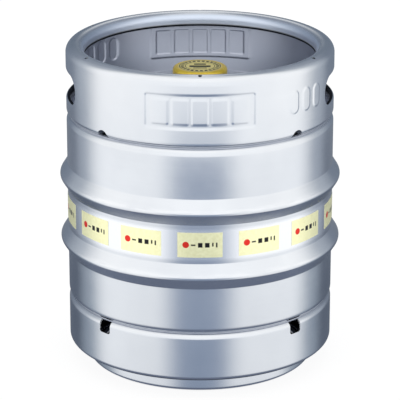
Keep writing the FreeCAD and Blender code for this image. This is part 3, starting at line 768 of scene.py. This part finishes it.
PAPER_DARK = (0.90, 0.87, 0.50, 1.0)
PAPER_LIGHT = (0.97, 0.95, 0.60, 1.0)
LABEL_BLACK = (0.012, 0.012, 0.014, 1.0)
LABEL_RED = (0.75, 0.03, 0.02, 1.0)
LABEL_BARS = (  # low and high along a label, low and high up it, from 0 to 1
    (0.30, 0.40, 0.475, 0.535),
    (0.455, 0.555, 0.41, 0.60),
    (0.61, 0.71, 0.41, 0.60),
    (0.765, 0.80, 0.45, 0.60),
    (0.85, 0.885, 0.41, 0.60),
)
LABEL_DOT = (0.185, 0.51)
LABEL_DOT_R = (3.6, 4.1)  # full red inside the first radius, none outside the second
LABEL_SIZE = (52.0, 29.8)  # length and height that turn label coordinates into mm for the dot

GOLD_DARK = (0.58, 0.40, 0.03, 1.0)
GOLD_LIGHT = (0.76, 0.57, 0.07, 1.0)
GOLD_METALLIC = 0.65
DISC_DARK = (0.72, 0.60, 0.18, 1.0)
DISC_LIGHT = (0.82, 0.71, 0.25, 1.0)
DISC_INK = (0.004, 0.004, 0.004, 1.0)
DISC_RINGS = (  # low and high radius, number of dashes, inked share of each
    (24.0, 25.0, 1, 1.1),
    (19.3, 23.2, 24, 0.6),
    (17.2, 18.0, 1, 1.1),
)
DISC_BARS = ((-10.5, -7.5, 8.0), (-5.0, 2.0, 12.5), (5.5, 10.5, 7.0))  # low and high y, half width


def new_material(name):
    material = bpy.data.materials.new(name)
    material.use_nodes = True
    tree = material.node_tree
    return material, tree, tree.nodes["Principled BSDF"]


def fill(tree, made, values):
    """Give a node's inputs their values; an input whose value is a socket is linked to it."""
    for key, value in values.items():
        if isinstance(value, bpy.types.NodeSocket):
            tree.links.new(value, made.inputs[key])
        else:
            made.inputs[key].default_value = value


def node(tree, kind, values, **settings):
    made = tree.nodes.new(kind)
    for key, value in settings.items():
        setattr(made, key, value)
    fill(tree, made, values)
    return made


def object_spot(tree):
    return node(tree, "ShaderNodeTexCoord", {}).outputs["Object"]


def split_vector(tree, vector):
    return tuple(node(tree, "ShaderNodeSeparateXYZ", {0: vector}).outputs)


def noise(tree, vector, scale, detail, roughness):
    values = {"Vector": vector, "Scale": scale, "Detail": detail, "Roughness": roughness}
    return node(tree, "ShaderNodeTexNoise", values).outputs["Fac"]


def streaks(tree, vector, scale, detail, roughness):
    """Noise stretched along some axes; scale gives its fineness along each."""
    stretched = node(tree, "ShaderNodeMapping", {"Vector": vector, "Scale": scale}).outputs["Vector"]
    return noise(tree, stretched, 1.0, detail, roughness)


def math_node(tree, operation, *values):
    return node(tree, "ShaderNodeMath", dict(enumerate(values)), operation=operation).outputs[0]


def add(tree, a, b):
    return math_node(tree, "ADD", a, b)


def times(tree, a, b):
    return math_node(tree, "MULTIPLY", a, b)


def distance_of(tree, a, b):
    """Length of the flat vector (a, b)."""
    squares = [math_node(tree, "POWER", side, 2.0) for side in (a, b)]
    return math_node(tree, "SQRT", add(tree, *squares))


def remap(tree, value, low, high, to_low, to_high, shape="LINEAR"):
    """A value carried from one range to another and held at its ends."""
    values = {"Value": value, "From Min": low, "From Max": high, "To Min": to_low, "To Max": to_high}
    return node(tree, "ShaderNodeMapRange", values, interpolation_type=shape).outputs["Result"]


def rise(tree, value, low, high):
    """0 below low, 1 above high, smooth between."""
    return remap(tree, value, low, high, 0.0, 1.0, "SMOOTHSTEP")


def around(tree, value, middle, spread):
    """A noise carried to a range about a middle value."""
    return remap(tree, value, 0.3, 0.7, middle - spread, middle + spread)


def band(tree, value, low, high, soft):
    """1 where low < value < high, with soft edges."""
    up = remap(tree, value, low - soft, low + soft, 0.0, 1.0)
    down = remap(tree, value, high - soft, high + soft, 1.0, 0.0)
    return times(tree, up, down)


def band_mm(tree, value, low, high, soft):
    """The same, with its limits in millimetres and its value in metres."""
    return band(tree, value, low * MM, high * MM, soft * MM)


def mix_colour(tree, factor, a, b):
    values = {"Factor": factor, "A": a, "B": b}
    return node(tree, "ShaderNodeMix", values, data_type="RGBA").outputs["Result"]


def finish_shader(tree, shader, colour, rough, height, strength, distance):
    """Colour, roughness and a bump of a given depth in millimetres."""
    values = {"Height": height, "Strength": strength, "Distance": distance * MM}
    bump = node(tree, "ShaderNodeBump", values).outputs["Normal"]
    fill(tree, shader, {"Base Color": colour, "Roughness": rough, "Normal": bump})


def faces_inwards(tree, x, y, wide):
    """1 on the side of a chime's wall that looks at the axis."""
    # painted shade is laid on the side of the wall that this picks out
    normal = node(tree, "ShaderNodeNewGeometry", {}).outputs["Normal"]
    flat = node(tree, "ShaderNodeCombineXYZ", {0: x, 1: y}).outputs[0]
    facing = node(tree, "ShaderNodeVectorMath", {0: normal, 1: flat}, operation="DOT_PRODUCT")
    inward = remap(tree, facing.outputs["Value"], -0.10, -0.03, 1.0, 0.0)
    return times(tree, inward, remap(tree, wide, INWARD_FROM * MM, INWARD_FULL * MM, 0.0, 1.0))


def sheet_steel(name, polish_r=None, painted_highlight_z=None, seams=(), painted_shade_inside=False, recess_shades=()):
    """Satin rolled sheet with fine grain, faint brushing round the keg and a cloudy tone.

    polish_r is the crest radius of hoops that are worn brighter, painted_highlight_z the heights
    of a band painted brighter as a painted highlight, and seams are (height, width) of darker lines
    along welds. painted_shade_inside paints shade on the wall's inner side, darker, and a bluer
    painted reflection on the curl's inner face. recess_shades are painted shade, near-black, in
    hollows: r and z give their limits, soft the softness in height, past_x how far to the sides
    they start, and at_drains keeps them to the drains' azimuths.
    """
    material, tree, shader = new_material(name)
    spot = object_spot(tree)
    brushed = streaks(tree, spot, (6.0, 6.0, 900.0), 4.0, 0.6)
    grain = noise(tree, spot, 1600.0, 2.0, 0.6)
    cloud = noise(tree, spot, 14.0, 4.0, 0.55)
    tone = add(tree, times(tree, cloud, 0.75), times(tree, brushed, 0.25))
    colour = mix_colour(tree, remap(tree, tone, 0.3, 0.7, 0.0, 1.0), STEEL_DARK, STEEL_LIGHT)
    rough = add(tree, around(tree, cloud, STEEL_ROUGHNESS, 0.03), around(tree, brushed, 0.0, 0.02))
    x, y, z = split_vector(tree, spot)
    wide = distance_of(tree, x, y)
    if polish_r:
        worn = rise(tree, wide, (polish_r - POLISH_W) * MM, polish_r * MM)
        scuffs = remap(tree, streaks(tree, spot, (30.0, 30.0, 260.0), 5.0, 0.65), 0.4, 0.62, 0.0, 1.0)
        worn = times(tree, worn, scuffs)
        rough = math_node(tree, "SUBTRACT", rough, times(tree, worn, 0.07))
        colour = mix_colour(tree, times(tree, worn, 0.5), colour, STEEL_POLISHED)
    if painted_shade_inside:
        # painted shade: the wall's inner side is painted darker and bluer, and made rougher
        inside = faces_inwards(tree, x, y, wide)
        colour = mix_colour(tree, inside, colour, STEEL_INNER_SHADE)
        rough = add(tree, rough, times(tree, inside, 0.1))
        # painted reflection: the curl's inner face is painted bluer, and made rougher
        curl = times(tree, band_mm(tree, wide, *CURL_R, 0.8), band_mm(tree, z, *CURL_Z, 1.2))
        colour = mix_colour(tree, curl, colour, CURL_PAINTED_REFLECTION)
        rough = add(tree, rough, times(tree, curl, 0.2))
    if painted_highlight_z:
        # painted highlight: a band of the barrel round the labels is painted brighter
        colour = mix_colour(tree, band_mm(tree, z, *painted_highlight_z, 2.0), colour, STEEL_PAINTED_HIGHLIGHT)
    for seam_z, width in seams:
        away = math_node(tree, "ABSOLUTE", math_node(tree, "SUBTRACT", z, seam_z * MM))
        tint = remap(tree, away, 0.0, width * MM, 0.35, 0.0, "SMOOTHSTEP")
        colour = mix_colour(tree, tint, colour, SEAM_COLOUR)
    for recess_shade in recess_shades:
        # painted shade: near-black, rougher patches painted by position in hollows
        shade_share = band_mm(tree, z, *recess_shade["z"], recess_shade["soft"])
        shade_share = times(tree, band_mm(tree, wide, *recess_shade["r"], 0.2), shade_share)
        if "past_x" in recess_shade:
            past_x = recess_shade["past_x"] * MM
            aside = remap(tree, math_node(tree, "ABSOLUTE", x), past_x - ASIDE_SOFT * MM, past_x, 0.0, 1.0)
            shade_share = times(tree, shade_share, aside)
        if recess_shade.get("at_drains"):
            skew = math_node(tree, "ABSOLUTE", times(tree, x, y))
            skew = math_node(tree, "DIVIDE", skew, math_node(tree, "POWER", wide, 2.0))
            shade_share = times(tree, shade_share, remap(tree, skew, AT_DIAGONAL - 0.001, AT_DIAGONAL, 0.0, 1.0))
        colour = mix_colour(tree, shade_share, colour, RECESS_PAINTED_SHADE)
        rough = add(tree, rough, times(tree, shade_share, 0.5))
    height = add(tree, times(tree, grain, 0.6), times(tree, brushed, 0.4))
    shader.inputs["Metallic"].default_value = 1.0
    finish_shader(tree, shader, colour, rough, height, 0.12, 0.2)
    return material


def machined_steel(name, light, dark, roughness):
    """Turned or drawn steel with fine tool lines and a little staining."""
    material, tree, shader = new_material(name)
    spot = object_spot(tree)
    lines = streaks(tree, spot, (40.0, 40.0, 2600.0), 3.0, 0.6)
    stain = noise(tree, spot, 60.0, 4.0, 0.6)
    rough = remap(tree, add(tree, lines, stain), 0.6, 1.4, roughness - 0.06, roughness + 0.08)
    shader.inputs["Metallic"].default_value = 1.0
    finish_shader(tree, shader, mix_colour(tree, stain, dark, light), rough, lines, 0.25, 0.1)
    return material


def weld_bead(name):
    """A ripple-sided weld bead, darker and bluer than the sheet."""
    material, tree, shader = new_material(name)
    spot = object_spot(tree)
    ripple = noise(tree, spot, 420.0, 2.0, 0.5)
    tint = noise(tree, spot, 40.0, 3.0, 0.5)
    rough = remap(tree, ripple, 0.3, 0.7, 0.35, 0.55)
    shader.inputs["Metallic"].default_value = 1.0
    finish_shader(tree, shader, mix_colour(tree, tint, BEAD_DARK, BEAD_LIGHT), rough, ripple, 0.5, 0.4)
    return material


def soft_material(name, light, dark, roughness, grain, bump_depth):
    """Rubber or foam with a fine moulded grain."""
    material, tree, shader = new_material(name)
    spot = object_spot(tree)
    fine = noise(tree, spot, grain, 3.0, 0.6)
    broad = noise(tree, spot, 50.0, 3.0, 0.5)
    rough = around(tree, fine, roughness, 0.05)
    finish_shader(tree, shader, mix_colour(tree, broad, dark, light), rough, fine, 0.4, bump_depth)
    return material


def all_marks(tree, marks):
    ink = marks[0]
    for mark in marks[1:]:
        ink = math_node(tree, "MAXIMUM", ink, mark)
    return ink


def label_print():
    """Cream film with a red dot and a few plain black bars."""
    material, tree, shader = new_material("label_film")
    u, v, _ = split_vector(tree, node(tree, "ShaderNodeUVMap", {}, uv_map="print").outputs["UV"])
    paper = noise(tree, object_spot(tree), 300.0, 3.0, 0.6)
    colour = mix_colour(tree, remap(tree, paper, 0.3, 0.7, 0.0, 1.0), PAPER_DARK, PAPER_LIGHT)
    bars = []
    for u_low, u_high, v_low, v_high in LABEL_BARS:
        bars.append(times(tree, band(tree, u, u_low, u_high, 0.006), band(tree, v, v_low, v_high, 0.012)))
    colour = mix_colour(tree, all_marks(tree, bars), colour, LABEL_BLACK)
    du = times(tree, math_node(tree, "SUBTRACT", u, LABEL_DOT[0]), LABEL_SIZE[0])
    dv = times(tree, math_node(tree, "SUBTRACT", v, LABEL_DOT[1]), LABEL_SIZE[1])
    dot = remap(tree, distance_of(tree, du, dv), *LABEL_DOT_R, 1.0, 0.0)
    colour = mix_colour(tree, dot, colour, LABEL_RED)
    shader.inputs["Metallic"].default_value = 0.7
    finish_shader(tree, shader, colour, remap(tree, paper, 0.3, 0.7, 0.32, 0.42), paper, 0.1, 0.1)
    return material


def disc_print(tree, spot):
    """1 where the cap's disc is inked: rings of plain dashes round three bars."""
    x, y, _ = split_vector(tree, spot)
    wide = distance_of(tree, x, y)
    angle = math_node(tree, "ARCTAN2", y, x)
    marks = []
    for r_low, r_high, count, share in DISC_RINGS:
        phase = math_node(tree, "FRACT", times(tree, angle, count / (2 * math.pi)))
        dash = remap(tree, phase, share - 0.02, share + 0.02, 1.0, 0.0)
        marks.append(times(tree, band_mm(tree, wide, r_low, r_high, 0.15), dash))
    for low, high, half in DISC_BARS:
        marks.append(times(tree, band_mm(tree, y, low, high, 0.2), band_mm(tree, x, -half, half, 0.2)))
    return all_marks(tree, marks)


def gold_plastic(name, printed):
    """Metallic gold plastic; the disc on top is paler and printed in black."""
    material, tree, shader = new_material(name)
    spot = object_spot(tree)
    flake = noise(tree, spot, 2200.0, 2.0, 0.6)
    broad = noise(tree, spot, 70.0, 3.0, 0.5)
    shader.inputs["Metallic"].default_value = GOLD_METALLIC
    if printed:
        ink = disc_print(tree, spot)
        colour = mix_colour(tree, ink, mix_colour(tree, broad, DISC_DARK, DISC_LIGHT), DISC_INK)
        shine = remap(tree, ink, 0.0, 1.0, 0.5, 0.05)
        metallic = remap(tree, ink, 0.0, 1.0, GOLD_METALLIC, 0.0)
        fill(tree, shader, {"Specular IOR Level": shine, "Metallic": metallic})
    else:
        tone = remap(tree, add(tree, flake, broad), 0.7, 1.3, 0.0, 1.0)
        colour = mix_colour(tree, tone, GOLD_DARK, GOLD_LIGHT)
    finish_shader(tree, shader, colour, remap(tree, flake, 0.3, 0.7, 0.26, 0.4), flake, 0.15, 0.1)
    return material


def dress(obj, material):
    if obj.material_slots:
        for slot in obj.material_slots:
            slot.material = material
    else:
        obj.data.materials.append(material)


# ---- build the pieces
# barrel steel: the band round the labels is a painted highlight
barrel_steel = sheet_steel(
    "barrel_steel", polish_r=167.5, painted_highlight_z=(172.0, 209.0), seams=((79.5, 3.0), (304.6, 3.0)),
    # painted shade behind the drains and the slots
    recess_shades=(
        dict(r=(145.0, 157.7), z=(305.6, 330.0), soft=0.5, at_drains=True),  # behind the drains
        dict(r=(144.0, 157.7), z=(50.0, 86.0), soft=3.0, at_drains=True),  # behind the slots
    ))
# chime steel: painted shade on its inner side, a painted reflection on the curl's inner face and painted
# shade in hollows
chime_steel = sheet_steel(
    "chime_steel", seams=((79.5, 2.5), (305.0, 2.5)), painted_shade_inside=True,
    # painted shade low inside at the sides, inside the lower chime, under the rim's curl and inside the foot
    # ring
    recess_shades=(
        dict(r=(150.0, 157.7), z=(315.0, 342.0), soft=3.0, past_x=144.0),  # low inside, at the sides
        dict(r=(140.0, 157.7), z=(22.5, 72.5), soft=0.5),  # inside the lower chime
        dict(r=(136.5, 141.5), z=(371.0, 375.4), soft=0.8),  # under the rim's curl
        dict(r=(120.0, 134.6), z=(3.0, 20.0), soft=1.0),  # inside the foot ring
    ))
valve_steel = machined_steel("valve_steel", (0.66, 0.66, 0.66, 1.0), (0.5, 0.5, 0.51, 1.0), 0.3)
spring_steel = machined_steel("spring_steel", (0.45, 0.45, 0.47, 1.0), (0.3, 0.3, 0.32, 1.0), 0.28)
weld_steel = weld_bead("weld_steel")
rubber = soft_material("seal_rubber", (0.035, 0.035, 0.036, 1.0), (0.018, 0.018, 0.019, 1.0), 0.6, 900.0, 0.1)
foam = soft_material("liner_foam", (0.82, 0.81, 0.76, 1.0), (0.72, 0.71, 0.66, 1.0), 0.75, 1400.0, 0.2)
label_film = label_print()
cap_plastic = gold_plastic("cap_plastic", False)
disc_film = gold_plastic("disc_film", True)

for maker, replaced, body, material, slot in (
    (upper_barrel, ("upper_shell", "girth_weld"), "keg", barrel_steel, "barrel_steel"),
    (lower_barrel, ("lower_shell",), "keg", barrel_steel, "barrel_steel"),
    (upper_chime, ("upper_chime",), "keg", chime_steel, "chime_steel"),
    (lower_chime, ("lower_chime",), "keg", chime_steel, "chime_steel"),
    (labels, ("barrel_labels",), "keg", label_film, "label_film"),
    (dust_cap, ("cap_shell",), "cap", cap_plastic, "cap_plastic"),
):
    piece = maker()
    dress(piece, material)
    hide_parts(*replaced)
    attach(piece, body)
    if maker is dust_cap:
        piece.visible_glossy = False  # keeps its gold out of the steel's reflections

main_spring = spring("coil_main", **MAIN_SPRING)
beer_spring = spring("coil_beer", **BEER_SPRING)
for piece, replaced, body, joint, made, travel in (
    (main_spring, "main_spring", "keg", "gas_valve_press", MAIN_SPRING, MAIN_TRAVEL),
    (beer_spring, "beer_spring", "spear", "beer_valve_press", BEER_SPRING, BEER_TRAVEL),
):
    dress(piece, spring_steel)
    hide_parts(replaced)
    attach(piece, body)
    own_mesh(piece)

for name, material in {
    "upper_chime_weld": weld_steel, "lower_chime_weld": weld_steel, "neck_weld": weld_steel,
    "valve_neck": valve_steel, "valve_body": valve_steel, "body_o_ring": rubber,
    "retaining_ring": spring_steel, "valve_cage": valve_steel, "gas_seal": rubber,
    "seal_core": valve_steel, "spear_cup": valve_steel, "spear_tube": valve_steel,
    "beer_ball": valve_steel, "cap_disc": disc_film, "cap_liner": foam,
}.items():
    dress(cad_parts[name], material)


# ---- floor, light and camera, in metres
FLOOR_REACH = 9.0
FLOOR_DROP = 0.0005  # keeps the floor clear of the foot
# the floor's own dark grey shows only inside the foot ring, as a painted shadow
FLOOR_COLOUR = (0.12, 0.12, 0.122, 1.0)
FLOOR_LIGHTER = 1.01
FLOOR_GLOW = 0.90
# inside this radius the floor has no glow, which leaves a painted shadow
GLOW_FROM = 0.124  # the floor glows from just inside the foot ring outwards
GLOW_FULL = 0.134
TENT_RADIUS = 0.85
TENT_CENTRE_Z = 0.19
TENT_COLUMNS = 96
TENT_ROWS = 48
WORLD_STRENGTH = 1.08
CAMERA_DISTANCE = 2.9
CAMERA_ELEVATION = math.radians(18.66)
CAMERA_LENS = 216.15
AIM_Z = 0.19166

# The tent's colour by the way round it, from 0 in front to 1 behind, at four heights.
TENT_LOWEST = (
    (0.0, (0.33, 0.40, 0.53)), (0.06, (0.35, 0.42, 0.55)), (0.20, (1.06, 1.08, 1.11)),
    (0.44, (1.1, 1.12, 1.15)), (0.58, (0.34, 0.40, 0.48)), (0.70, (0.12, 0.145, 0.195)),
    (0.86, (0.13, 0.155, 0.205)), (1.0, (0.3, 0.33, 0.38)),
)
TENT_LOW = (
    (0.0, (0.38, 0.45, 0.58)), (0.06, (0.40, 0.47, 0.60)), (0.20, (1.15, 1.17, 1.2)),
    (0.46, (1.2, 1.22, 1.25)), (0.62, (0.42, 0.47, 0.55)), (0.72, (0.20, 0.23, 0.29)),
    (0.86, (0.21, 0.24, 0.29)), (1.0, (0.4, 0.43, 0.48)),
)
TENT_HIGH = (
    (0.0, (1.25, 1.27, 1.3)), (0.46, (1.3, 1.3, 1.3)), (0.62, (0.50, 0.55, 0.62)),
    (0.74, (0.22, 0.26, 0.33)), (0.88, (0.18, 0.22, 0.28)), (1.0, (0.20, 0.24, 0.30)),
)
TENT_OVER = (
    (0.0, (1.35, 1.35, 1.35)), (0.40, (1.3, 1.3, 1.3)), (0.56, (0.50, 0.54, 0.60)),
    (0.74, (0.34, 0.38, 0.45)), (0.92, (0.33, 0.37, 0.44)), (0.97, (0.80, 0.83, 0.87)),
    (1.0, (1.2, 1.2, 1.2)),
)
TENT_FLOOR = (0.17, 0.20, 0.28, 1.0)
TENT_ROOF = (0.98, 0.99, 1.0, 1.0)
# Heights from the tent's middle over which one colour gives way to the next above it.
FLOOR_TO_LOWEST = (-0.66, -0.46)
LOWEST_TO_LOW = (-0.34, -0.24)
LOW_TO_HIGH = (-0.13, -0.03)
HIGH_TO_OVER = (0.40, 0.66)
OVER_TO_ROOF = (0.80, 0.845)


def floor_paint():
    """Matt paint, grey by itself and made pale by a glow that stops under the keg."""
    material, tree, shader = new_material("floor_paint")
    spot = object_spot(tree)
    faint = noise(tree, spot, 3.0, 2.0, 0.5)
    lighter = tuple(c * FLOOR_LIGHTER for c in FLOOR_COLOUR[:3]) + (1.0,)
    x, y, _ = split_vector(tree, spot)
    # painted shadow: the glow stops inside the foot ring, so the floor there stays dark
    glow = remap(tree, distance_of(tree, x, y), GLOW_FROM, GLOW_FULL, 0.0, FLOOR_GLOW)
    fill(tree, shader, {
        "Base Color": mix_colour(tree, faint, FLOOR_COLOUR, lighter),
        "Roughness": 0.9,
        "Specular IOR Level": 0.0,
        "Emission Color": (1.0, 1.0, 1.0, 1.0),
        "Emission Strength": glow,
    })
    return material


def floor():
    reach = FLOOR_REACH
    corners = [(-reach, -reach, 0), (reach, -reach, 0), (reach, reach, 0), (-reach, reach, 0)]
    obj = link_mesh("floor", corners, [(0, 1, 2, 3)])
    obj.location.z = -FLOOR_DROP
    dress(obj, floor_paint())
    obj.visible_glossy = False


def ramp(tree, factor, stops):
    """A colour ramp with eased stops of (position, colour)."""
    made = node(tree, "ShaderNodeValToRGB", {"Fac": factor})
    made.color_ramp.interpolation = "EASE"
    elements = made.color_ramp.elements
    while len(elements) > 1:
        elements.remove(elements[-1])
    elements[0].position, elements[0].color = stops[0][0], stops[0][1] + (1.0,)
    for position, colour in stops[1:]:
        elements.new(position).color = colour + (1.0,)
    return made.outputs["Color"]


def tent_light():
    """Bright beside and high in front, dim low in front, behind and below, pale overhead."""
    material = bpy.data.materials.new("reflector_light")
    material.use_nodes = True
    tree = material.node_tree
    tree.nodes.clear()
    x, y, z = split_vector(tree, object_spot(tree))
    way_round = math_node(tree, "ABSOLUTE", math_node(tree, "ARCTAN2", x, times(tree, y, -1.0)))
    way_round = math_node(tree, "DIVIDE", way_round, math.pi)
    colour = TENT_FLOOR
    for heights, stops in (
        (FLOOR_TO_LOWEST, TENT_LOWEST),
        (LOWEST_TO_LOW, TENT_LOW),
        (LOW_TO_HIGH, TENT_HIGH),
        (HIGH_TO_OVER, TENT_OVER),
    ):
        colour = mix_colour(tree, rise(tree, z, *heights), colour, ramp(tree, way_round, stops))
    colour = mix_colour(tree, rise(tree, z, *OVER_TO_ROOF), colour, TENT_ROOF)
    light = node(tree, "ShaderNodeEmission", {"Color": colour})
    node(tree, "ShaderNodeOutputMaterial", {"Surface": light.outputs[0]})
    return material


def reflector():
    """A round studio tent that only reflections see."""
    verts, faces = [], []
    for j in range(TENT_ROWS + 1):
        p = math.pi * j / TENT_ROWS - math.pi / 2
        r = TENT_RADIUS * math.cos(p)
        for i in range(TENT_COLUMNS):
            a = 2 * math.pi * i / TENT_COLUMNS
            verts.append((r * math.cos(a), r * math.sin(a), TENT_RADIUS * math.sin(p)))
    for j in range(TENT_ROWS):
        this, above = j * TENT_COLUMNS, (j + 1) * TENT_COLUMNS
        for i in range(TENT_COLUMNS):
            m = (i + 1) % TENT_COLUMNS
            faces.append((this + i, above + i, above + m, this + m))
    obj = link_mesh("reflector", verts, faces)
    obj.data.validate()
    obj.location.z = TENT_CENTRE_Z
    dress(obj, tent_light())
    obj.visible_camera = False
    obj.visible_diffuse = False
    obj.visible_shadow = False
    obj.visible_transmission = False
    obj.visible_volume_scatter = False


floor()
reflector()

world = bpy.data.worlds.new("studio")
bpy.context.scene.world = world
world.use_nodes = True
background = world.node_tree.nodes["Background"]
fill(world.node_tree, background, {"Color": (1.0, 1.0, 1.0, 1.0), "Strength": WORLD_STRENGTH})
bpy.context.scene.view_settings.view_transform = "Standard"

camera_data = bpy.data.cameras.new("camera")
camera_data.lens = CAMERA_LENS
camera_data.sensor_width = 36.0
camera_data.clip_end = 50.0
camera = bpy.data.objects.new("camera", camera_data)
bpy.context.scene.collection.objects.link(camera)
back = CAMERA_DISTANCE * math.cos(CAMERA_ELEVATION)
camera.location = (0.0, -back, AIM_Z + CAMERA_DISTANCE * math.sin(CAMERA_ELEVATION))
aim = Vector((0.0, 0.0, AIM_Z)) - camera.location
camera.rotation_euler = aim.to_track_quat("-Z", "Y").to_euler()
bpy.context.scene.camera = camera
